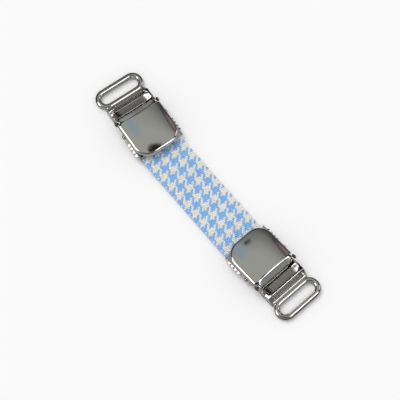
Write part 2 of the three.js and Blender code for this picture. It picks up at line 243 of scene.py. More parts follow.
lamp_data = bpy.data.lights.new("lamp", "SUN")
lamp_data.angle = LAMP_ACROSS
lamp_data.energy = LAMP_POWER
lamp = bpy.data.objects.new("lamp", lamp_data)
lamp.rotation_euler = (-seen(*LAMP_TOWARD)).to_track_quat("-Z", "Y").to_euler()
lamp.visible_glossy = False
scene.collection.objects.link(lamp)
print("lamp shines from", [round(value, 2) for value in seen(*LAMP_TOWARD)])

# %% [markdown]
# ## The card
# The stay lies on white card. The metal sees the card as well: close by it is light grey, so the
# lowest edges of the clips melt into it, and some way off the card ends and the dark room begins,
# which is what draws the black outlines. A small card on a dark table could do the same, but its
# edge would show in the picture, so here only what the metal sees turns dark with the distance.

# %% Floor
FLOOR_ACROSS = 3000.0
CARD_SEEN_TO = (58.0, 76.0)
CARD_COLOUR = "f9f7f6"
CARD_BY_THE_METAL = "c0c2c2"
CARD_FAR_OFF = "202020"


def new_material(name):
    """A material with no nodes yet."""
    material = bpy.data.materials.new(name)
    material.use_nodes = True
    material.node_tree.nodes.clear()
    return material


# Uncoated card: it scatters light evenly and has no shine, so it is one white with soft shadows
card = new_material("matt_white_card")
tree = card.node_tree
spot = add_node(tree, "ShaderNodeTexCoord").outputs["Object"]
distance = add_node(tree, "ShaderNodeVectorMath", {0: spot}, operation="LENGTH")
beyond = add_node(tree, "ShaderNodeMapRange", {
    "Value": distance.outputs["Value"],
    "From Min": CARD_SEEN_TO[0] * MM,
    "From Max": CARD_SEEN_TO[1] * MM,
}, interpolation_type="SMOOTHSTEP")
mirrored = add_node(tree, "ShaderNodeMixRGB", {
    "Fac": beyond,
    "Color1": linear(CARD_BY_THE_METAL),
    "Color2": linear(CARD_FAR_OFF),
})
card_colour = add_node(tree, "ShaderNodeMixRGB", {
    "Fac": add_node(tree, "ShaderNodeLightPath").outputs["Is Glossy Ray"],
    "Color1": linear(CARD_COLOUR),
    "Color2": mirrored,
})
shader = add_node(tree, "ShaderNodeBsdfDiffuse", {"Color": card_colour})
add_node(tree, "ShaderNodeOutputMaterial", {"Surface": shader})
reach = FLOOR_ACROSS / 2 * MM
floor_mesh = bpy.data.meshes.new("floor")
corners = [(-reach, -reach, 0), (reach, -reach, 0), (reach, reach, 0), (-reach, reach, 0)]
floor_mesh.from_pydata(corners, [], [(0, 1, 2, 3)])
floor = bpy.data.objects.new("floor", floor_mesh)
floor_mesh.materials.append(card)
scene.collection.objects.link(floor)
print("floor", FLOOR_ACROSS, "mm across")

# %% [markdown]
# ## Metals
# The clips are pressed from thin steel, polished, and plated with nickel and a flash of chrome. The
# plating keeps the long, very slight waves that the press leaves in the sheet, and rubbing adds a
# haze of fine scratches. A polishing wheel can't reach down into the trays, so their floors stay
# rougher, and their colour is painted darker there as shade in the recess. A mirror without all
# this looks like plastic foil in a render, so it is in the material: a broad bump for the waves, a
# fine noise on the roughness for the haze, and for the trays a mark on the tray's own points,
# because it has to follow the pressing and not a pattern in space.

# %% Plated steel
# The waves that the press leaves are about 11 mm long
PRESS_WAVE = 11.11
# Rubbing marks are about 0.01 mm wide, too fine to show, so they are drawn as patches of haze
HAZE_PATCH = 2.381
HAZE_EDGES = (0.35, 0.75)
# The darker colour of the tray floors is painted shade in the recess
PAINTED_TRAY_SHADE = "a3a29e"
UNBUFFED_ROUGHNESS = 0.28


def noise_scale(length):
    """The noise scale that gives a grain of this many millimetres."""
    return 1.0 / (length * MM)


def plated(name, colour, roughness, haze, wave_height):
    """Polished plated sheet: slight waves, a fine haze, and on marked trays a rougher finish and
    painted shade.
    """
    material = new_material(name)
    tree = material.node_tree
    place = add_node(tree, "ShaderNodeTexCoord").outputs["Object"]
    waves = add_node(tree, "ShaderNodeTexNoise", {
        "Vector": place,
        "Scale": noise_scale(PRESS_WAVE),
        "Detail": 1.0,
    })
    rubbed = add_node(tree, "ShaderNodeTexNoise", {
        "Vector": place,
        "Scale": noise_scale(HAZE_PATCH),
        "Detail": 6.0,
        "Roughness": 0.7,
    })
    worn = add_node(tree, "ShaderNodeMapRange", {
        "Value": rubbed.outputs["Fac"],
        "From Min": HAZE_EDGES[0],
        "From Max": HAZE_EDGES[1],
        "To Min": roughness,
        "To Max": roughness + haze,
    })
    pressed = add_node(tree, "ShaderNodeBump", {
        "Height": waves.outputs["Fac"],
        "Strength": 1.0,
        "Distance": wave_height * MM,
    })
    # The tray's mark makes its floor rougher, a real duller finish, and darker, which is painted
    # shade in the recess
    dull_and_shaded = add_node(tree, "ShaderNodeAttribute", attribute_name="dull_and_shaded").outputs["Fac"]
    tone = add_node(tree, "ShaderNodeMixRGB", {
        "Fac": dull_and_shaded,
        "Color1": linear(colour),
        "Color2": linear(PAINTED_TRAY_SHADE),
    })
    dulled = add_node(tree, "ShaderNodeMapRange", {
        "Value": dull_and_shaded,
        "To Min": worn,
        "To Max": UNBUFFED_ROUGHNESS,
    })
    shader = add_node(tree, "ShaderNodeBsdfPrincipled", {
        "Base Color": tone,
        "Metallic": 1.0,
        "Roughness": dulled,
        "Normal": pressed,
    })
    add_node(tree, "ShaderNodeOutputMaterial", {"Surface": shader})
    return material


print("noise scales:", round(noise_scale(PRESS_WAVE)), "and", round(noise_scale(HAZE_PATCH)))

# %% The clips' three metals
# Polished and plated sheet: a clear mirror, hardly tinted, with sharp reflections and a thin haze
chrome = plated(
    "chrome_plated_pressed_steel", "d1d2ce", roughness=0.04, haze=0.08, wave_height=0.008,
)
# Rivet wire plated in a barrel: darker and blurred, so its heads stand out against the bright ears
pin_metal = plated("plated_rivet_steel", "6a6762", roughness=0.12, haze=0.12, wave_height=0.01)
# Spring strip with a thin plating: a slightly warmer mirror, a little softer than the plates
spring_metal = plated("plated_spring_steel", "c4c2bc", roughness=0.06, haze=0.08, wave_height=0.01)
print("metals:", [metal.name for metal in (chrome, pin_metal, spring_metal)])

# %% [markdown]
# ## One clip, twice
# Both clips are the same, so each piece is made once in the clip's own frame and copied to its two
# places. In that frame x is 0 at the crease of the cover plate and grows towards the strap, y runs
# across, and z is up. The frame's hinge joints say where each clip lies and how it is turned.

# %% Clip frames
HINGE_SETBACK = 1.9


def clip_place(letter):
    """The matrix, in millimetres, that carries a clip from its own frame to its place."""
    joint = next(j for j in frame["joints"] if j["name"] == f"lever_{letter}_hinge")
    across = -Vector(joint["axis"]).normalized()
    along = across.cross(Vector((0, 0, 1)))
    pin = Vector(joint["pos_m"]) / MM
    origin = Vector((pin.x, pin.y, 0)) + along * HINGE_SETBACK
    turn = Matrix((along, across, Vector((0, 0, 1)))).transposed().to_4x4()
    return Matrix.Translation(origin) @ turn


PLACES = {letter: clip_place(letter) for letter in "ab"}
HINGE = Vector((-HINGE_SETBACK, 0, frame["joints"][0]["pos_m"][2] / MM))
for letter, place in PLACES.items():
    print("clip", letter, "at", [round(value, 2) for value in place.translation])
print("hinge height", round(HINGE.z, 2), "mm")

# %% Mesh helpers
def mesh_of(name, points, faces):
    """A smooth mesh from points in millimetres in the clip's own frame."""
    mesh = bpy.data.meshes.new(name)
    mesh.from_pydata([tuple(p) for p in points], [], faces)
    mesh.validate()
    mesh.update()
    mesh.shade_smooth()
    return mesh


def vertex_list():
    """An empty list of points, and a function that adds one and gives its number."""
    points = []

    def vertex(x, y, z):
        points.append((x, y, z))
        return len(points) - 1

    return points, vertex


def mix(a, b, share):
    return a + (b - a) * share


def smooth_step(value):
    share = min(max(value, 0.0), 1.0)
    return share * share * (3 - 2 * share)


def even_steps(a, b, count):
    return [mix(a, b, k / count) for k in range(count + 1)]


def strip_faces(rows):
    """Faces between neighbouring rows of vertex numbers."""
    faces = []
    for here, there in zip(rows, rows[1:]):
        for j in range(len(here) - 1):
            faces.append((here[j], there[j], there[j + 1], here[j + 1]))
    return faces


print("two rows of three points give the faces", strip_faces([[0, 1, 2], [3, 4, 5]]))

# %% Edges, and a copy for each clip
BEVEL_STEPS = 2
SHARP_FROM = math.radians(40)


def finish_edges(piece, thickness=0.0, round_off=0.0):
    """Gives a sheet its thickness, inwards, and rounds the edges that a press leaves."""
    if thickness:
        wall = piece.modifiers.new("thickness", "SOLIDIFY")
        wall.thickness = thickness * MM
        wall.offset = -1.0
        wall.use_even_offset = True
    if round_off:
        edges = piece.modifiers.new("rounded_edges", "BEVEL")
        edges.width = round_off * MM
        edges.segments = BEVEL_STEPS
        edges.limit_method = "ANGLE"
        edges.angle_limit = SHARP_FROM
        edges.use_clamp_overlap = True
        even = piece.modifiers.new("even_shading", "WEIGHTED_NORMAL")
        even.keep_sharp = True


def on_both_clips(mesh, stem, body, node, material, slot, thickness=0.0, round_off=0.0):
    """Copies a piece to both clips, where it rides on a body and stands for a node."""
    for letter, place in PLACES.items():
        copy = mesh.copy()
        copy.transform(Matrix.Scale(MM, 4) @ place)
        copy.materials.clear()
        copy.materials.append(material)
        piece = bpy.data.objects.new(f"{stem}_{letter}", copy)
        scene.collection.objects.link(piece)
        finish_edges(piece, thickness, round_off)
        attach(piece, body.format(letter))
        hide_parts(node.format(letter))
    bpy.data.meshes.remove(mesh)
    print(stem, "made for both clips")


print("edges that turn by more than", round(math.degrees(SHARP_FROM)), "degrees are rounded")

# %% [markdown]
# ## The cover plate
# The plate is the clip's lever. A press dishes it into a low dome, turns its edge down on three
# sides into short lips, and bends its straight side down to a roll round the hinge pin. It could be
# carved from a box with subdivision, but its edge has one true radius all the way round, and chrome
# shows any wobble in that. So the outer skin is worked out point by point: a grid for the dome, a
# quarter circle swept round its rim, and the roll swept from the crease. A Solidify modifier gives
# the sheet its thickness, as a press works from one flat sheet.

# %% Sizes of the plate
PLATE_LENGTH = 20.0
PLATE_WIDTH = 22.8
PLATE_HEIGHT = 7.2
PLATE_FALL = 0.8
PLATE_CROWN = 0.9
PLATE_CORNER = 7.4
PLATE_EDGE = 1.0
PLATE_SHEET = 0.5
CREASE_RADIUS = 1.2
ROLL_RADIUS = 1.3
ROLL_HALF = 9.3
ROLL_TURN = math.radians(300)
LIP_LINE = [(-1.0, 5.9), (2.6, 4.8), (6.6, 4.5), (8.6, 3.7), (18.5, 4.1), (21.0, 4.1)]


def dome(x, y):
    """Height of the plate's dome, which falls off faster towards its edges."""
    along = x / PLATE_LENGTH
    across = abs(y) / (PLATE_WIDTH / 2)
    fall = PLATE_FALL * (along ** 2 + along ** 5) / 2
    return PLATE_HEIGHT - fall - PLATE_CROWN * (across ** 2 + across ** 4) / 2


def lip_end(x):
    """Height of the lips' lower edge, which passes over the studs and lands on the jaw."""
    return float(np.interp(x, *zip(*LIP_LINE)))


print("dome height at the middle:", round(dome(PLATE_LENGTH / 2, 0), 2), "mm")

# %% Outline of the plate's flat part
corner_start = PLATE_LENGTH - PLATE_CORNER
inner_corner = PLATE_CORNER - PLATE_EDGE
inner_half = PLATE_WIDTH / 2 - PLATE_EDGE
# The rows lie closer together by the crease, where the sheet bends sharply
straight_rows = [0.0, 0.25, *even_steps(0.7, corner_start, 17)]
plate_stations = [(x, inner_half, 0.0) for x in straight_rows]
for angle in even_steps(0, math.pi / 2, 14)[1:]:
    plate_stations.append((
        corner_start + inner_corner * math.sin(angle),
        inner_half - inner_corner * (1 - math.cos(angle)),
        angle,
    ))
roll_share = ROLL_HALF / inner_half
plate_shares = [-1.0, *even_steps(-roll_share, roll_share, 26), 1.0]
print(len(plate_stations), "stations,", len(plate_shares), "columns")

# %% Rim and lips of the plate
LIP_SHARES = (0.33, 0.67, 1.0)
LIP_LEAST = 0.2


def rim_rows(points, vertex, grid):
    """Rows from the dome's edge round a quarter circle and down the lips."""
    # The rim runs along one side, round the tip and back; each point has its way outwards
    ways = [(math.sin(angle), math.cos(angle)) for _, _, angle in plate_stations]
    rim = [(row[0], sine, -cosine) for row, (sine, cosine) in zip(grid, ways)]
    rim += [(number, 1.0, 0.0) for number in grid[-1][1:-1]]
    rim += [(row[-1], sine, cosine) for row, (sine, cosine) in zip(grid[::-1], ways[::-1])]
    rows = [[number for number, _, _ in rim]]
    for angle in even_steps(0, math.pi / 2, 8)[1:]:
        row = []
        for number, out_x, out_y in rim:
            x = points[number][0] + out_x * PLATE_EDGE * math.sin(angle)
            y = points[number][1] + out_y * PLATE_EDGE * math.sin(angle)
            row.append(vertex(x, y, dome(x, y) - PLATE_EDGE * (1 - math.cos(angle))))
        rows.append(row)
    edge = [points[number] for number in rows[-1]]
    for share in LIP_SHARES:
        rows.append([
            vertex(x, y, mix(z, min(lip_end(x), z - LIP_LEAST), share)) for x, y, z in edge
        ])
    return rows


tip_lip = dome(PLATE_LENGTH, 0) - PLATE_EDGE - lip_end(PLATE_LENGTH)
print("at the tip the lip hangs", round(tip_lip, 2), "mm below the rim")

# %% Front and roll of the plate
drop = PLATE_HEIGHT - HINGE.z - CREASE_RADIUS
lean = math.acos((ROLL_RADIUS - CREASE_RADIUS) / math.hypot(drop, HINGE.x))
lean -= math.atan2(-HINGE.x, drop)
roll_start = math.pi / 2 + lean
# From the crease the sheet leans down, meets the roll on its tangent, and turns round the pin
front = [
    (-CREASE_RADIUS * math.sin(a), PLATE_HEIGHT - CREASE_RADIUS * (1 - math.cos(a)))
    for a in even_steps(0, lean, 4)[1:]
]
roll = [
    (HINGE.x + ROLL_RADIUS * math.cos(angle), HINGE.z + ROLL_RADIUS * math.sin(angle))
    for angle in even_steps(roll_start, roll_start + ROLL_TURN, 30)
]
(bend_x, bend_z), (roll_x, roll_z) = front[-1], roll[0]
front += [(mix(bend_x, roll_x, share), mix(bend_z, roll_z, share)) for share in LIP_SHARES[:2]]
print("the plate leans", round(math.degrees(lean)), "degrees at the crease")

# %% Skin of the plate
def plate_skin():
    """The dome, its rim and lips, and its front and roll, as points and faces."""
    points, vertex = vertex_list()
    grid = [
        [vertex(x, share * half, dome(x, share * half)) for share in plate_shares]
        for x, half, _ in plate_stations
    ]
    faces = strip_faces(grid) + strip_faces(rim_rows(points, vertex, grid))
    columns = grid[0][1:-1][::-1]
    rows = [columns]
    for k, (x, z) in enumerate(front + roll):
        # The dome's bow fades out down the front, because a roll round a pin is straight
        bow = max(1 - k / len(front), 0)
        rows.append([
            vertex(x, points[number][1], z + (points[number][2] - PLATE_HEIGHT) * bow)
            for number in columns
        ])
    return points, faces + strip_faces(rows)


on_both_clips(
    mesh_of("cover_plate", *plate_skin()), "cover_plate", "lever_{}", "lever_{}", chrome, "chrome",
    thickness=PLATE_SHEET, round_off=0.09,
)

# %% [markdown]
# ## The base
# Under the plate lies one long pressing. It starts as a ring for webbing, goes flat, steps up to a
# ridge, is drawn down again into a small tray, and then turns down to the floor under the strap.
# The tray could be sculpted, but the drawing die gives it soft slopes that a formula describes
# well, so its skin is a height map over a fine grid: the floor rises a little at both ends, and
# beside the tray the sheet falls off where it is drawn in to the ring. Its rim turns down into side
# walls with a small radius.

# %% Sizes of the base
SLOT_WIDTH = 19.5
SLOT_LENGTH = 5.1
BAR_WIDTH = 2.5
LOOP_HEIGHT = 2.4
LOOP_EDGE = 1.0
FLAT_HEIGHT = 2.2
FLAT_LENGTH = 2.6
FLAT_OVER_BAR = 0.6
STEP_RUN = 2.5
RIDGE_HEIGHT = 5.8
RIDGE_SETBACK = 6.9
TRAY_END_SETBACK = 2.2
TRAY_FLOOR = 3.7
TRAY_LIP = 0.1
TRAY_END_REACH = 3.0
TRAY_END_CURVE = 0.09
TRAY_WALL = 1.1
TRAY_CORNER = 2.6
TRAY_RIM = 0.7
NECK_WIDTH = 21.4
NECK_RUN = 0.6
SHOULDER_REACH = 2.4
SHOULDER_LENGTH = 3.0
SHOULDER_SLOPE = 0.36
RIM_FALL = 0.8
BASE_SHEET = 0.8
# Drawing the tray stretches its sheet to this share of the thickness
TRAY_THINNING = 0.8
RIM_RADIUS = 0.4
NECK_EDGE = 1.0
FLOOR_LENGTH = 17.3
CHEEK_INNER = 9.6
CHEEK_OUTER = 10.4

ridge_x = HINGE.x - RIDGE_SETBACK
foot_x = ridge_x - STEP_RUN
slot_inner_x = foot_x - FLAT_LENGTH
loop_x = slot_inner_x - SLOT_LENGTH / 2
tray_end_x = HINGE.x - TRAY_END_SETBACK
print("ridge at x =", round(ridge_x, 2), "and slot middle at x =", round(loop_x, 2))

# %% Heights of the tray
def shoulder_fall(x, y):
    """How far the sheet slopes off beside the tray's outer corners."""
    past = max(abs(y) - (NECK_WIDTH / 2 - SHOULDER_REACH), 0.0)
    ends = smooth_step((x - ridge_x) / SHOULDER_LENGTH - 0.5)
    share = smooth_step((x - foot_x) / STEP_RUN) * (1 - ends)
    return SHOULDER_SLOPE * past ** 2 / (past + TRAY_RIM / 2) * share


def tray_top(x, y):
    """Height of the pressing: low flat, step, ridge, and the tray sunk behind the ridge."""
    step = mix(FLAT_HEIGHT, RIDGE_HEIGHT, smooth_step((x - foot_x) / STEP_RUN))
    along = min(max((x - ridge_x) / (tray_end_x - ridge_x), 0.0), 1.0)
    rim = step - RIM_FALL * along - shoulder_fall(x, y)
    # The tray's outline is a rounded rectangle; outside is the distance past it
    half_length = (tray_end_x - ridge_x) / 2 + TRAY_CORNER
    middle = tray_end_x - half_length + 2 * TRAY_CORNER
    dx = abs(x - middle) - (half_length - TRAY_CORNER)
    dy = abs(y) - (NECK_WIDTH / 2 - TRAY_RIM - TRAY_CORNER)
    outside = math.hypot(max(dx, 0.0), max(dy, 0.0)) + min(max(dx, dy), 0.0) - TRAY_CORNER
    past = max(abs(y) - (NECK_WIDTH / 2 - TRAY_RIM - TRAY_WALL - TRAY_END_REACH), 0.0)
    floor = TRAY_FLOOR + TRAY_LIP * smooth_step(along * 2 - 1) + TRAY_END_CURVE * past ** 2
    return mix(rim, min(rim, floor), smooth_step(-outside / TRAY_WALL))


def side_radius(x):
    """Radius of the side edges, which is soft where the sheet is drawn in to the ring."""
    return mix(NECK_EDGE, RIM_RADIUS, smooth_step((x - foot_x) / STEP_RUN))


tray_middle = (ridge_x + tray_end_x) / 2
print("the tray's floor is", round(tray_top(tray_middle, 0), 2), "mm up at its middle")

# %% Rows of the tray
NECK_X = foot_x - NECK_RUN
END_X = tray_end_x - RIM_RADIUS
tray_stations = [
    *even_steps(slot_inner_x + BAR_WIDTH * FLAT_OVER_BAR, foot_x, 8)[:-1],
    *even_steps(foot_x, ridge_x, 20)[:-1],
    *even_steps(ridge_x, END_X, 30),
]
tray_halves = [
    mix(NECK_WIDTH / 2 - TRAY_RIM, NECK_WIDTH / 2, smooth_step((x - NECK_X) / NECK_RUN))
    - side_radius(x)
    for x in tray_stations
]
tray_shares = even_steps(-1, 1, 76)
print("the tray's grid has", len(tray_stations), "by", len(tray_shares), "points")

# %% Skin of the tray
def tray_skin():
    """The height map with its side walls and the wall behind the tray, as points and faces."""
    points, vertex = vertex_list()
    grid = [
        [vertex(x, share * half, tray_top(x, share * half)) for share in tray_shares]
        for x, half in zip(tray_stations, tray_halves)
    ]
    faces = strip_faces(grid)
    for side, end in ((-1, 0), (1, -1)):
        column = [row[end] for row in grid]
        rows = [column]
        for angle in even_steps(0, math.pi / 2, 5)[1:]:
            row = []
            for number in column:
                x, y, z = points[number]
                out = side_radius(x) * math.sin(angle)
                down = side_radius(x) * (1 - math.cos(angle))
                row.append(vertex(x, y + side * out, z - down))
            rows.append(row)
        rim = [points[number] for number in rows[-1]]
        rows += [[vertex(x, y, z * share) for x, y, z in rim] for share in (0.5, 0.0)]
        faces += strip_faces(rows if side < 0 else [row[::-1] for row in rows])

    # Behind the tray the sheet turns down to the floor
    end_row = [number for number in grid[-1] if abs(points[number][1]) < CHEEK_INNER]
    rows = [end_row]
    for angle in even_steps(0, math.pi / 2, 5)[1:]:
        x = END_X + RIM_RADIUS * math.sin(angle)
        down = RIM_RADIUS * (1 - math.cos(angle))
        rows.append([vertex(x, points[number][1], points[number][2] - down) for number in end_row])
    rows.append([vertex(tray_end_x, points[number][1], BASE_SHEET / 2) for number in end_row])
    return points, faces + strip_faces(rows)


tray_mesh = mesh_of("tray", *tray_skin())
print("the tray's skin has", len(tray_mesh.polygons), "faces")

# %% Where the polishing wheel can't reach, and where shade is painted into the tray
DULL_AND_SHADE_DEPTH = 0.3

# The mark dulls the tray floor and paints shade into it, more the deeper it lies
dull_and_shaded = tray_mesh.attributes.new("dull_and_shaded", "FLOAT", "POINT")
for point, mark in zip(tray_mesh.vertices, dull_and_shaded.data):
    in_tray = point.co.x > ridge_x and abs(point.co.y) < NECK_WIDTH / 2 - TRAY_RIM
    sunk = RIDGE_HEIGHT - RIM_FALL - DULL_AND_SHADE_DEPTH - point.co.z
    mark.value = smooth_step(sunk) if in_tray else 0.0
dull_and_shaded_points = sum(mark.value > 0.5 for mark in dull_and_shaded.data)
print(dull_and_shaded_points, "points of the tray are out of the wheel's reach")
on_both_clips(
    tray_mesh, "tray", "stay", "base_{}", chrome, "chrome",
    thickness=BASE_SHEET * TRAY_THINNING, round_off=0.09,
)

# %% [markdown]
# ## Cut plates
# The floor, the ears and the toothed jaw are flat plates cut by a punch. Each is an outline made
# solid, with a small bevel, because a punched edge always catches a line of light. The teeth on the
# jaw's edge are bent down to bite, which a flat outline can't show, so each is a small solid of its
# own that leans down from the plate.

# %% Plates from outlines
def plate_of(outline, low, high, lie):
    """An outline made solid; lie turns its two directions and its depth to x, y and z."""
    count = len(outline)
    points = [lie(a, b, level) for level in (low, high) for a, b in outline]
    sides = [(k, (k + 1) % count, count + (k + 1) % count, count + k) for k in range(count)]
    return points, [tuple(range(count))[::-1], tuple(range(count, 2 * count)), *sides]


def merged(parts):
    """Several point and face lists as one."""
    points, faces = [], []
    for part_points, part_faces in parts:
        faces += [tuple(n + len(points) for n in face) for face in part_faces]
        points += part_points
    return points, faces


def outward(mesh):
    """Turns every face of a closed mesh outwards."""
    build = bmesh.new()
    build.from_mesh(mesh)
    bmesh.ops.recalc_face_normals(build, faces=build.faces)
    build.to_mesh(mesh)
    build.free()
    return mesh


def lie_flat(a, b, level):
    return (a, b, level)


def stand_along(a, b, level):
    return (a, level, b)


print("plates are outlines in x and y, or in x and z")

# %% Floor plate and ears
CHEEK_LENGTH = 7.5
CHEEK_HEIGHT = 4.9
CHEEK_CORNER = 1.6
CHEEK_FALL = 0.4
EAR_RADIUS = 1.7
EAR_ARC = (math.radians(15), math.radians(145))
EAR_FOOT = 1.0
FLOOR_CORNER = 1.2
# The floor and the ears run a little under the tray's end wall, so no gap shows at the bend
UNDERLAP = 0.2

floor_end = [(
    FLOOR_LENGTH - FLOOR_CORNER + FLOOR_CORNER * math.sin(angle),
    CHEEK_OUTER - FLOOR_CORNER * (1 - math.cos(angle)),
) for angle in even_steps(0, math.pi / 2, 6)]
floor_start = tray_end_x - UNDERLAP
floor_outline = [(floor_start, -CHEEK_OUTER), *[(x, -y) for x, y in floor_end]]
floor_outline += [*floor_end[::-1], (floor_start, CHEEK_OUTER)]

cheek_start = tray_end_x - BASE_SHEET - UNDERLAP
corner_top = CHEEK_HEIGHT - CHEEK_FALL
cheek_outline = [(cheek_start, 0.0), (CHEEK_LENGTH, 0.0), (CHEEK_LENGTH, corner_top - CHEEK_CORNER)]
for angle in even_steps(0, math.pi / 2, 6)[1:]:
    cheek_outline.append((
        CHEEK_LENGTH - CHEEK_CORNER * (1 - math.cos(angle)),
        corner_top - CHEEK_CORNER * (1 - math.sin(angle)),
    ))
cheek_outline.append((HINGE.x + EAR_RADIUS + EAR_FOOT, CHEEK_HEIGHT))
cheek_outline.append((HINGE.x + EAR_RADIUS, HINGE.z + CHEEK_FALL))
for angle in even_steps(*EAR_ARC, 12):
    x, z = HINGE.x + EAR_RADIUS * math.cos(angle), HINGE.z + EAR_RADIUS * math.sin(angle)
    cheek_outline.append((x, z))
cheek_outline.append((cheek_start, TRAY_FLOOR + EAR_FOOT))

under_parts = [plate_of(floor_outline, 0.0, BASE_SHEET, lie_flat)]
for side in (-1, 1):
    under_parts.append(
        plate_of(cheek_outline, side * CHEEK_INNER, side * CHEEK_OUTER, stand_along)
    )
under_mesh = outward(mesh_of("floor_and_ears", *merged(under_parts)))
on_both_clips(under_mesh, "floor_and_ears", "stay", "base_{}", chrome, "chrome", round_off=0.12)

# %% Flat part of the jaw
JAW_WIDTH = 24.8
JAW_BACK = 3.2
JAW_SHOULDER = 8.0
JAW_LENGTH = 18.6
JAW_SHEET = 0.7
JAW_BOTTOM = 2.7
JAW_CORNER = 1.2
TOOTH_PITCH = 2.0
TOOTH_DEPTH = 0.8

tooth_line = JAW_WIDTH / 2 - TOOTH_DEPTH
jaw_front = JAW_LENGTH - TOOTH_DEPTH
half_outline = [(JAW_BACK, ROLL_HALF), (JAW_SHOULDER, ROLL_HALF), (JAW_SHOULDER, tooth_line)]
half_outline += [(jaw_front - JAW_CORNER, tooth_line), (jaw_front, tooth_line - JAW_CORNER)]
jaw_outline = half_outline + [(x, -y) for x, y in half_outline][::-1]
jaw_parts = [plate_of(jaw_outline, JAW_BOTTOM, JAW_BOTTOM + JAW_SHEET, lie_flat)]
print("the jaw is", jaw_front - JAW_BACK, "mm long without its teeth")

# %% Teeth bent down
TOOTH_BEND = math.radians(30)
TOOTH_ROOT = 0.3
TOOTH_START = 0.3
TOOTH_RECESS = 0.02
# Shares of the pitch at which a tooth's foot starts and ends, and its blunt point
TOOTH_FOOT = (0.1, 0.9)
TOOTH_POINT = (0.4, 0.6)


def bent_tooth(start, forward, outward_way):
    """One tooth on the jaw's edge, bent down towards the strap; its root runs into the plate."""
    start, forward, outward_way = Vector(start), Vector(forward), Vector(outward_way)
    fall = Vector((0, 0, -math.tan(TOOTH_BEND)))

    def lie(a, b, level):
        return start + forward * a + (outward_way + fall) * b + Vector((0, 0, level))

    foot_start, foot_end, point_start, point_end = (
        share * TOOTH_PITCH for share in (*TOOTH_FOOT, *TOOTH_POINT)
    )
    outline = [
        (0.0, -TOOTH_ROOT), (foot_end, -TOOTH_ROOT), (foot_end, 0.0),
        (point_end, TOOTH_DEPTH), (point_start, TOOTH_DEPTH), (foot_start, 0.0),
    ]
    return plate_of(outline, JAW_BOTTOM, JAW_BOTTOM + JAW_SHEET - TOOTH_RECESS, lie)


side_teeth = int((jaw_front - JAW_CORNER - JAW_SHOULDER) / TOOTH_PITCH)
front_teeth = int(2 * (tooth_line - JAW_CORNER) / TOOTH_PITCH)
for side in (-1, 1):
    for k in range(side_teeth):
        start = (JAW_SHOULDER + TOOTH_START + k * TOOTH_PITCH, side * tooth_line, 0)
        jaw_parts.append(bent_tooth(start, (1, 0, 0), (0, side, 0)))
for k in range(front_teeth):
    start = (jaw_front, (k - front_teeth / 2) * TOOTH_PITCH, 0)
    jaw_parts.append(bent_tooth(start, (0, 1, 0), (1, 0, 0)))
print(side_teeth, "teeth on each side and", front_teeth, "in front")

# %% Flanges, and the whole jaw
FLANGE_TEETH = 5
FLANGE_DROP = 1.3
FLANGE_GUM = 0.2
FLANGE_RECESS = 0.1

flange_start = JAW_LENGTH - FLANGE_TEETH * TOOTH_PITCH - FLANGE_GUM
flange_top = JAW_BOTTOM + JAW_SHEET - FLANGE_RECESS
gum = JAW_BOTTOM - FLANGE_GUM
flange_outline = [(flange_start, flange_top), (flange_start, gum)]
for k in range(FLANGE_TEETH):
    x = flange_start + k * TOOTH_PITCH
    flange_outline += [(x + TOOTH_PITCH / 2, JAW_BOTTOM - FLANGE_DROP), (x + TOOTH_PITCH, gum)]
flange_outline.append((flange_start + FLANGE_TEETH * TOOTH_PITCH, flange_top))

flange_y = tooth_line - JAW_SHEET
for side in (-1, 1):
    jaw_parts.append(plate_of(flange_outline, side * flange_y, side * tooth_line, stand_along))
jaw_mesh = outward(mesh_of("toothed_jaw", *merged(jaw_parts)))
on_both_clips(jaw_mesh, "toothed_jaw", "stay", "jaw_{}", spring_metal, "steel", round_off=0.13)

# %% [markdown]
# ## Geometry Nodes for what repeats
# The ring, the rivets and the threads of the strap each follow a path or a rule, so a node tree
# makes them. Its sizes are named inputs, and its result is turned into a plain mesh, because an
# exported model keeps only plain meshes.

# %% Tree helpers
MATH = "ShaderNodeMath"
TO_VECTOR = "ShaderNodeCombineXYZ"


def new_tree(name, inputs):
    """An empty Geometry Nodes tree with named inputs, and the sockets that carry them."""
    tree = bpy.data.node_groups.new(name, "GeometryNodeTree")
    tree.interface.new_socket("Geometry", in_out="OUTPUT", socket_type="NodeSocketGeometry")
    for label, kind in inputs.items():
        tree.interface.new_socket(label, in_out="INPUT", socket_type=f"NodeSocket{kind}")
    return tree, add_node(tree, "NodeGroupInput").outputs


def end_tree(tree, geometry, material):
    """Ends a tree in plain geometry with its material."""
    plain = add_node(tree, "GeometryNodeRealizeInstances", {"Geometry": geometry})
    smooth = add_node(tree, "GeometryNodeSetShadeSmooth", {"Geometry": plain})
    finish = add_node(tree, "GeometryNodeSetMaterial", {
        "Geometry": smooth,
        "Material": material,
    })
    add_node(tree, "NodeGroupOutput", {"Geometry": finish})


def grown(tree, values):
    """The plain mesh that a tree makes with these inputs."""
    carrier = bpy.data.objects.new(tree.name, bpy.data.meshes.new(tree.name))
    scene.collection.objects.link(carrier)
    modifier = carrier.modifiers.new(tree.name, "NODES")
    modifier.node_group = tree
    for item in tree.interface.items_tree:
        if item.in_out == "INPUT":
            modifier[item.identifier] = values[item.name]
    evaluated = carrier.evaluated_get(bpy.context.evaluated_depsgraph_get())
    mesh = bpy.data.meshes.new_from_object(evaluated)
    bpy.data.objects.remove(carrier)
    print(tree.name, "grew", len(mesh.polygons), "faces")
    return mesh


print("each tree ends in plain geometry with its material")

# %% Ring tree
# A fillet of exactly half the width would leave its two ends no straight piece to join
FILLET_SHARE = 0.4999

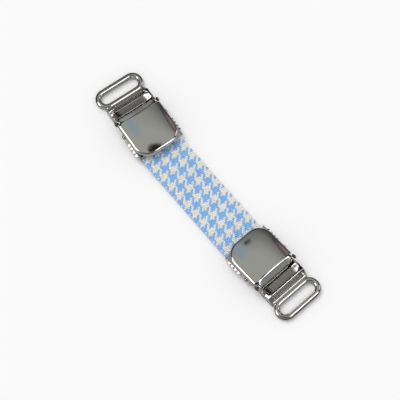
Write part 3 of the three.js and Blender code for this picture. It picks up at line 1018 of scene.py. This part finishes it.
ring_tree, size = new_tree("webbing_ring", {
    "Path Length": "Float",
    "Path Width": "Float",
    "Bar Width": "Float",
    "Bar Height": "Float",
    "Edge Radius": "Float",
    "Material": "Material",
})
box_path = add_node(ring_tree, "GeometryNodeCurvePrimitiveQuadrilateral", {
    "Width": size["Path Length"],
    "Height": size["Path Width"],
})
end_radius = add_node(ring_tree, MATH, {
    0: size["Path Length"],
    1: FILLET_SHARE,
}, operation="MULTIPLY")
long_path = add_node(ring_tree, "GeometryNodeFilletCurve", {
    "Curve": box_path,
    "Count": 20,
    "Radius": end_radius,
    "Limit Radius": True,
}, mode="POLY")
level_path = add_node(ring_tree, "GeometryNodeSetCurveNormal", {"Curve": long_path}, mode="Z_UP")
section = add_node(ring_tree, "GeometryNodeCurvePrimitiveQuadrilateral", {
    "Width": size["Bar Width"],
    "Height": size["Bar Height"],
})
bar_section = add_node(ring_tree, "GeometryNodeFilletCurve", {
    "Curve": section,
    "Count": 10,
    "Radius": size["Edge Radius"],
    "Limit Radius": True,
}, mode="POLY")
ring = add_node(ring_tree, "GeometryNodeCurveToMesh", {
    "Curve": level_path,
    "Profile Curve": bar_section,
})
end_tree(ring_tree, ring, size["Material"])
print("the ring tree has", len(ring_tree.nodes), "nodes")

# %% Webbing ring
ring_mesh = grown(ring_tree, {
    "Path Length": SLOT_LENGTH + BAR_WIDTH,
    "Path Width": SLOT_WIDTH + BAR_WIDTH,
    "Bar Width": BAR_WIDTH,
    "Bar Height": LOOP_HEIGHT,
    "Edge Radius": LOOP_EDGE,
    "Material": chrome,
})
ring_mesh.transform(Matrix.Translation((loop_x, 0, LOOP_HEIGHT / 2)))
on_both_clips(outward(ring_mesh), "webbing_ring", "stay", "base_{}", chrome, "chrome")

# %% Rivet tree
rivet_tree, size = new_tree("rivet", {
    "Shank Radius": "Float",
    "Head Radius": "Float",
    "Head Height": "Float",
    "Head Place": "Float",
    "Material": "Material",
})
whole_length = add_node(rivet_tree, MATH, {0: size["Head Place"], 1: 2.0}, operation="MULTIPLY")
shank = add_node(rivet_tree, "GeometryNodeMeshCylinder", {
    "Vertices": 24,
    "Radius": size["Shank Radius"],
    "Depth": whole_length,
})
far_end = add_node(rivet_tree, TO_VECTOR, {2: size["Head Place"]})
near_end = add_node(rivet_tree, "ShaderNodeVectorMath", {
    0: far_end,
    "Scale": -1.0,
}, operation="SCALE")
ends = add_node(rivet_tree, "GeometryNodeMeshLine", {
    "Count": 2,
    "Start Location": near_end,
    "Offset": far_end,
}, mode="END_POINTS")
ball = add_node(rivet_tree, "GeometryNodeMeshUVSphere", {
    "Segments": 28,
    "Rings": 16,
    "Radius": 1.0,
})
half_height = add_node(rivet_tree, MATH, {0: size["Head Height"], 1: 0.5}, operation="MULTIPLY")
head_size = add_node(rivet_tree, TO_VECTOR, {
    0: size["Head Radius"],
    1: size["Head Radius"],
    2: half_height,
})
heads = add_node(rivet_tree, "GeometryNodeInstanceOnPoints", {
    "Points": ends,
    "Instance": ball,
    "Scale": head_size,
})
whole = add_node(rivet_tree, "GeometryNodeJoinGeometry")
for part in (shank, heads):
    rivet_tree.links.new(part.outputs[0], whole.inputs[0])
end_tree(rivet_tree, whole, size["Material"])
print("the rivet tree has", len(rivet_tree.nodes), "nodes")

# %% Hinge pins and jaw studs
HEAD_CLEARANCE = 0.3
HEAD_SEAT = CHEEK_OUTER + HEAD_CLEARANCE
STUD_PLACE = (4.6, 3.05)
RIVETS = {
    "hinge_rivet": {
        "at": (HINGE.x, HINGE.z), "shank": 0.55, "head": 1.15, "height": 1.3,
        "node": "hinge_pin_{}", "material": pin_metal, "slot": "dark_chrome",
    },
    "jaw_stud": {
        "at": STUD_PLACE, "shank": 0.6, "head": 1.15, "height": 1.6,
        "node": "jaw_{}", "material": spring_metal, "slot": "steel",
    },
}
across = Matrix.Rotation(math.pi / 2, 4, "X")
for name, rivet in RIVETS.items():
    rivet_mesh = grown(rivet_tree, {
        "Shank Radius": rivet["shank"],
        "Head Radius": rivet["head"],
        "Head Height": rivet["height"],
        "Head Place": HEAD_SEAT + rivet["height"] / 2,
        "Material": rivet["material"],
    })
    rivet_mesh.transform(Matrix.Translation((rivet["at"][0], 0, rivet["at"][1])) @ across)
    on_both_clips(rivet_mesh, name, "stay", rivet["node"], rivet["material"], rivet["slot"])

# %% [markdown]
# ## The strap
# The strap is woven elastic in a houndstooth check. That check is no print: it comes by itself from
# four blue and four cream threads by turns, both along and across, in a two over, two under twill.
# A picture of the check could be laid on a flat band, but then a close look would show no threads.
# Here every thread is made, by one tree that is used twice, once along and once across.

# %% Sizes of the strap
STRAP_WIDTH = 21.2
STRAP_THICKNESS = 1.3
STRAP_SHOWN = 55.2
STRAP_GRIPPED = 10.6
STRAP_RISE = 0.3
STRAP_CLAMPED = 1.1
STRAP_EASE = 12.0
SIDE_STEPS = {"a": 0.2, "b": -0.3}
STRAP_TURNS = {"a": math.radians(-5.5), "b": math.radians(2.0)}
WARP_COUNT = 30
WEFT_COUNT = 109
COLOUR_BAND = 4
THREAD_WAVE = 0.32
THREAD_THICKNESS = 0.62
THREAD_OVERLAP = 1.02
EDGE_ROOM = 0.2

strap_length = STRAP_SHOWN + 2 * STRAP_GRIPPED
warp_pitch = (STRAP_WIDTH - EDGE_ROOM) / WARP_COUNT
weft_pitch = strap_length / WEFT_COUNT
strap_low, strap_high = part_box("strap")
strap_middle_x = (strap_low.x + strap_high.x) / 2 / MM
repeat = 2 * COLOUR_BAND * weft_pitch
print("thread spacing", round(warp_pitch, 3), "and", round(weft_pitch, 3), "mm")
print("the check repeats every", round(repeat, 2), "mm")

# %% The strap's own bend
def bend_strap(mesh):
    """Carries a mesh from a straight flat strap to where the real one lies."""
    flat = np.empty(len(mesh.vertices) * 3)
    mesh.vertices.foreach_get("co", flat)
    points = flat.reshape(-1, 3)
    x, end = points[:, 0], STRAP_SHOWN / 2
    share = np.clip((x + end) / STRAP_SHOWN, 0, 1)
    side = mix(SIDE_STEPS["a"], SIDE_STEPS["b"], share)
    for letter, away, sign in (("a", x + end, 1), ("b", end - x, -1)):
        eased = away * (1 - np.clip(away, 0, STRAP_EASE) / STRAP_EASE) ** 2
        side = side + sign * math.tan(STRAP_TURNS[letter]) * np.where(away < STRAP_EASE, eased, 0)
    near_clip = np.clip(np.abs(x) / end, 0, 1)
    rise = mix(STRAP_RISE, STRAP_CLAMPED, near_clip ** 2 * (3 - 2 * near_clip))
    points[:, 0] += strap_middle_x
    points[:, 1] += side + SIDE_SHIFT
    points[:, 2] += rise + STRAP_THICKNESS / 2
    mesh.vertices.foreach_set("co", (points * MM).ravel())
    mesh.update()


clip_tip = PLACES["a"] @ Vector((PLATE_LENGTH, 0, 0))
SIDE_SHIFT = clip_tip.y - SIDE_STEPS["a"]
print("strap middle at x =", round(strap_middle_x, 3), "y =", round(SIDE_SHIFT, 3))

# %% Thread tree: straight threads
thread_tree, size = new_tree("threads", {
    "Threads": "Int",
    "Spacing": "Float",
    "Length": "Float",
    "Crossing Spacing": "Float",
    "First Crossing": "Float",
    "Width": "Float",
    "Thickness": "Float",
    "Wave": "Float",
    "Points": "Int",
    "Band Shift": "Float",
    "Settle": "Float",
    "Dark Yarn": "Material",
    "Pale Yarn": "Material",
})

last_thread = add_node(thread_tree, MATH, {0: size["Threads"], 1: 1.0}, operation="SUBTRACT")
spread = add_node(thread_tree, MATH, {0: last_thread, 1: size["Spacing"]}, operation="MULTIPLY")
first_y = add_node(thread_tree, MATH, {0: spread, 1: -0.5}, operation="MULTIPLY")
starts = add_node(thread_tree, "GeometryNodeMeshLine", {
    "Count": size["Threads"],
    "Start Location": add_node(thread_tree, TO_VECTOR, {1: first_y}),
    "Offset": add_node(thread_tree, TO_VECTOR, {1: size["Spacing"]}),
})
half_length = add_node(thread_tree, MATH, {0: size["Length"], 1: 0.5}, operation="MULTIPLY")
near_x = add_node(thread_tree, MATH, {0: half_length, 1: -1.0}, operation="MULTIPLY")
straight = add_node(thread_tree, "GeometryNodeCurvePrimitiveLine", {
    "Start": add_node(thread_tree, TO_VECTOR, {0: near_x}),
    "End": add_node(thread_tree, TO_VECTOR, {0: half_length}),
})
fine = add_node(thread_tree, "GeometryNodeResampleCurve", {
    "Curve": straight,
    "Count": size["Points"],
})
copies = add_node(thread_tree, "GeometryNodeInstanceOnPoints", {
    "Points": starts,
    "Instance": fine,
})
laid = add_node(thread_tree, "GeometryNodeRealizeInstances", {"Geometry": copies})
print("threads are laid with", len(thread_tree.nodes), "nodes")

# %% Over two, under two
point = add_node(thread_tree, "ShaderNodeSeparateXYZ", {
    0: add_node(thread_tree, "GeometryNodeInputPosition"),
}).outputs

# Which thread a point is on, and how many crossings it is along, which is the step in the twill
from_first = add_node(thread_tree, MATH, {0: point["Y"], 1: first_y}, operation="SUBTRACT")
spaces = add_node(thread_tree, MATH, {0: from_first, 1: size["Spacing"]}, operation="DIVIDE")
thread_number = add_node(thread_tree, MATH, {0: spaces}, operation="ROUND")
spaces_along = add_node(thread_tree, MATH, {
    0: point["X"],
    1: size["Crossing Spacing"],
}, operation="DIVIDE")
crossing = add_node(thread_tree, MATH, {
    0: spaces_along,
    1: size["First Crossing"],
}, operation="ADD")
stagger = add_node(thread_tree, MATH, {0: crossing, 1: thread_number}, operation="ADD")
step = add_node(thread_tree, MATH, {0: stagger, 1: 0.5}, operation="SUBTRACT")

# A wave of four crossings, cut flat at its tops, goes over two and under two
turn = add_node(thread_tree, MATH, {0: step, 1: math.pi / 2}, operation="MULTIPLY")
cosine = add_node(thread_tree, MATH, {0: turn}, operation="COSINE")
swing = add_node(thread_tree, MATH, {0: cosine, 1: math.sqrt(2)}, operation="MULTIPLY")
above_floor = add_node(thread_tree, MATH, {0: swing, 1: -1.0}, operation="MAXIMUM")
held = add_node(thread_tree, MATH, {0: above_floor, 1: 1.0}, operation="MINIMUM")

# Near its two ends a thread settles to the middle of the weave
from_middle = add_node(thread_tree, MATH, {0: point["X"]}, operation="ABSOLUTE")
from_end = add_node(thread_tree, MATH, {0: half_length, 1: from_middle}, operation="SUBTRACT")
ends_share = add_node(thread_tree, MATH, {0: from_end, 1: size["Settle"]}, operation="DIVIDE")
settled = add_node(thread_tree, MATH, {0: ends_share, 1: 1.0}, operation="MINIMUM")
full_lift = add_node(thread_tree, MATH, {0: held, 1: size["Wave"]}, operation="MULTIPLY")
lift = add_node(thread_tree, MATH, {0: full_lift, 1: settled}, operation="MULTIPLY")
waved = add_node(thread_tree, "GeometryNodeSetPosition", {
    "Geometry": laid,
    "Offset": add_node(thread_tree, TO_VECTOR, {2: lift}),
})
numbered = add_node(thread_tree, "GeometryNodeStoreNamedAttribute", {
    "Geometry": waved,
    "Name": "thread",
    "Value": thread_number,
}, data_type="FLOAT", domain="POINT")
print("and woven with", len(thread_tree.nodes), "nodes")

# %% Threads made round and coloured
section = add_node(thread_tree, "GeometryNodeCurvePrimitiveCircle", {
    "Resolution": 6,
    "Radius": 0.5,
}, mode="RADIUS")
flattened = add_node(thread_tree, "GeometryNodeTransform", {
    "Geometry": section,
    "Scale": add_node(thread_tree, TO_VECTOR, {0: size["Width"], 1: size["Thickness"], 2: 1.0}),
})
tubes = add_node(thread_tree, "GeometryNodeCurveToMesh", {
    "Curve": numbered,
    "Profile Curve": flattened,
    "Fill Caps": True,
})
thread_again = add_node(thread_tree, "GeometryNodeInputNamedAttribute", {
    "Name": "thread",
}, data_type="FLOAT")
in_order = add_node(thread_tree, MATH, {0: thread_again, 1: size["Band Shift"]}, operation="ADD")
in_repeat = add_node(thread_tree, MATH, {
    0: in_order,
    1: 2.0 * COLOUR_BAND,
}, operation="FLOORED_MODULO")
is_dark = add_node(thread_tree, MATH, {
    0: in_repeat,
    1: COLOUR_BAND - 0.5,
}, operation="LESS_THAN")
is_pale = add_node(thread_tree, MATH, {0: 1.0, 1: is_dark}, operation="SUBTRACT")
plain = add_node(thread_tree, "GeometryNodeRealizeInstances", {"Geometry": tubes})
soft = add_node(thread_tree, "GeometryNodeSetShadeSmooth", {"Geometry": plain})
dyed = add_node(thread_tree, "GeometryNodeSetMaterial", {
    "Geometry": soft,
    "Selection": is_dark,
    "Material": size["Dark Yarn"],
})
undyed = add_node(thread_tree, "GeometryNodeSetMaterial", {
    "Geometry": dyed,
    "Selection": is_pale,
    "Material": size["Pale Yarn"],
})
add_node(thread_tree, "NodeGroupOutput", {"Geometry": undyed})
print("the thread tree has", len(thread_tree.nodes), "nodes in all")

# %% [markdown]
# ## Yarns
# The threads are spun polyester. Spun yarn is matt, with a faint bright fuzz where light grazes it,
# and its colour is uneven from fibre to fibre. A picture of yarn could be laid on the threads, but
# noise in space needs no picture and never repeats. Fibres are far finer than a pixel, so the noise
# that stands for them is drawn much coarser than they are.

# %% Yarn materials
# Fibres are about 0.015 mm thick, too fine to show, so their streaks are drawn 25 times as coarse
FIBRE_STREAK = 0.3846
# Slubs, the thicker places in spun yarn, are a millimetre or so long
SLUB_LENGTH = 1.111
SLUB_EDGES = (0.5, 0.7)
FLECK_MOST = 0.6
FUZZ_HEIGHT = 0.06


def yarn(name, colour, streak, fleck):
    """Spun yarn: streaks of two close colours, flecks where it is thicker, a bump and a sheen."""
    material = new_material(name)
    tree = material.node_tree
    place = add_node(tree, "ShaderNodeTexCoord").outputs["Object"]
    fibres = add_node(tree, "ShaderNodeTexNoise", {
        "Vector": place,
        "Scale": noise_scale(FIBRE_STREAK),
        "Detail": 3.0,
    })
    tones = add_node(tree, "ShaderNodeMixRGB", {
        "Fac": fibres.outputs["Fac"],
        "Color1": linear(colour),
        "Color2": linear(streak),
    })
    slubs = add_node(tree, "ShaderNodeTexNoise", {
        "Vector": place,
        "Scale": noise_scale(SLUB_LENGTH),
        "Detail": 1.0,
    })
    fleck_share = add_node(tree, "ShaderNodeMapRange", {
        "Value": slubs.outputs["Fac"],
        "From Min": SLUB_EDGES[0],
        "From Max": SLUB_EDGES[1],
        "To Max": FLECK_MOST,
    })
    flecked = add_node(tree, "ShaderNodeMixRGB", {
        "Fac": fleck_share,
        "Color1": tones,
        "Color2": linear(fleck),
    })
    spun = add_node(tree, "ShaderNodeBump", {
        "Height": fibres.outputs["Fac"],
        "Strength": 0.6,
        "Distance": FUZZ_HEIGHT * MM,
    })
    shader = add_node(tree, "ShaderNodeBsdfPrincipled", {
        "Base Color": flecked,
        "Roughness": 0.85,
        "Sheen Weight": 0.3,
        "Sheen Roughness": 0.5,
        "Normal": spun,
    })
    add_node(tree, "ShaderNodeOutputMaterial", {"Surface": shader})
    return material


yarn_scales = [round(noise_scale(length)) for length in (FIBRE_STREAK, SLUB_LENGTH)]
print("noise scales of the yarns:", yarn_scales)

# %% The strap's yarns
# Dyed spun polyester: matt and clear blue, with paler fibres that soften it
blue_yarn = yarn("spun_polyester_light_blue", "74b2ee", "a6cdf4", "86aade")
# Undyed spun polyester: off-white, with warm flecks where the yarn is thicker
cream_yarn = yarn("spun_polyester_cream", "f4f2ec", "e6e6de", "ecd6b4")
# Grey blue edge yarn: a thin darker line along both sides, which is painted shade where the strap's
# sides fall away
edge_shade_yarn = yarn("grey_blue_edge_painted_shade", "6a84b4", "8ba2c8", "5c74a4")
# Rubber strands covered in pale thread: they only dull the gaps between the threads
elastic_core = yarn("covered_rubber_core", "c9d3de", "b9c6d4", "aab8ca")
print("yarns:", [made.name for made in (blue_yarn, cream_yarn, edge_shade_yarn, elastic_core)])

# %% Weave the strap
END_SETTLE = 0.5
WARP_SHIFT = 2.0
WEFT_SHIFT = 1.0

thread_sizes = {
    "Wave": THREAD_WAVE,
    "Thickness": THREAD_THICKNESS,
    "Settle": END_SETTLE,
    "Dark Yarn": blue_yarn,
    "Pale Yarn": cream_yarn,
}
warp_mesh = grown(thread_tree, {
    **thread_sizes,
    "Threads": WARP_COUNT,
    "Spacing": warp_pitch,
    "Length": strap_length,
    "Crossing Spacing": weft_pitch,
    "First Crossing": (WEFT_COUNT - 1) / 2,
    "Width": warp_pitch * THREAD_OVERLAP,
    "Points": WEFT_COUNT * 2 + 1,
    "Band Shift": WARP_SHIFT,
})
weft_mesh = grown(thread_tree, {
    **thread_sizes,
    "Wave": -THREAD_WAVE,
    "Threads": WEFT_COUNT,
    "Spacing": weft_pitch,
    "Length": warp_pitch * WARP_COUNT,
    "Crossing Spacing": warp_pitch,
    "First Crossing": (WARP_COUNT - 1) / 2,
    "Width": weft_pitch * THREAD_OVERLAP,
    "Points": WARP_COUNT * 2 + 1,
    "Band Shift": WEFT_SHIFT,
})
# The weft is made as a warp too; x and y change places, which also turns its faces inside out
swap_ways = Matrix(((0, 1, 0, 0), (1, 0, 0, 0), (0, 0, 1, 0), (0, 0, 0, 1)))
weft_mesh.transform(swap_ways)
weft_mesh.flip_normals()

# %% Edge threads
EDGE_THREAD_WIDTH = 0.4
EDGE_THREAD_THICKNESS = 0.5

# The edge threads carry painted shade along both sides of the strap
edge_mesh = grown(thread_tree, {
    **thread_sizes,
    "Wave": 0.0,
    "Thickness": EDGE_THREAD_THICKNESS,
    "Threads": 2,
    "Spacing": STRAP_WIDTH - EDGE_THREAD_WIDTH,
    "Length": strap_length,
    "Crossing Spacing": 1.0,
    "First Crossing": 0.0,
    "Width": EDGE_THREAD_WIDTH,
    "Points": WEFT_COUNT + 1,
    "Band Shift": 0.0,
    "Dark Yarn": edge_shade_yarn,
    "Pale Yarn": edge_shade_yarn,
})

# %% Core
CORE_THICKNESS = 0.3
CORE_INSET = 0.3

core_stations = even_steps(-strap_length / 2, strap_length / 2, 76)
core_half = STRAP_WIDTH / 2 - CORE_INSET
core_ring = [(-core_half, -1), (-core_half, 1), (0, 1), (core_half, 1), (core_half, -1), (0, -1)]
core_points = [(x, y, z * CORE_THICKNESS / 2) for x in core_stations for y, z in core_ring]
ring_count = len(core_ring)
core_rows = [
    [row * ring_count + k for k in range(ring_count)] for row in range(len(core_stations))
]
core_faces = strip_faces([row + row[:1] for row in core_rows])
core_faces += [tuple(core_rows[0]), tuple(core_rows[-1][::-1])]
core_mesh = outward(mesh_of("strap_core", core_points, core_faces))
core_mesh.materials.append(elastic_core)
print("the core is", round(2 * core_half, 2), "mm wide and", CORE_THICKNESS, "mm thick")

# %% The whole strap
strap_meshes = {
    "strap_core": core_mesh, "strap_warp": warp_mesh, "strap_weft": weft_mesh,
    "strap_edges": edge_mesh,
}
strap_pieces = {}
for name, mesh in strap_meshes.items():
    bend_strap(mesh)
    piece = bpy.data.objects.new(name, mesh)
    scene.collection.objects.link(piece)
    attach(piece, "stay")
    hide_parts("strap")
    strap_pieces[name] = piece
    print(name, "has", len(mesh.polygons), "faces")
core = strap_pieces.pop("strap_core")
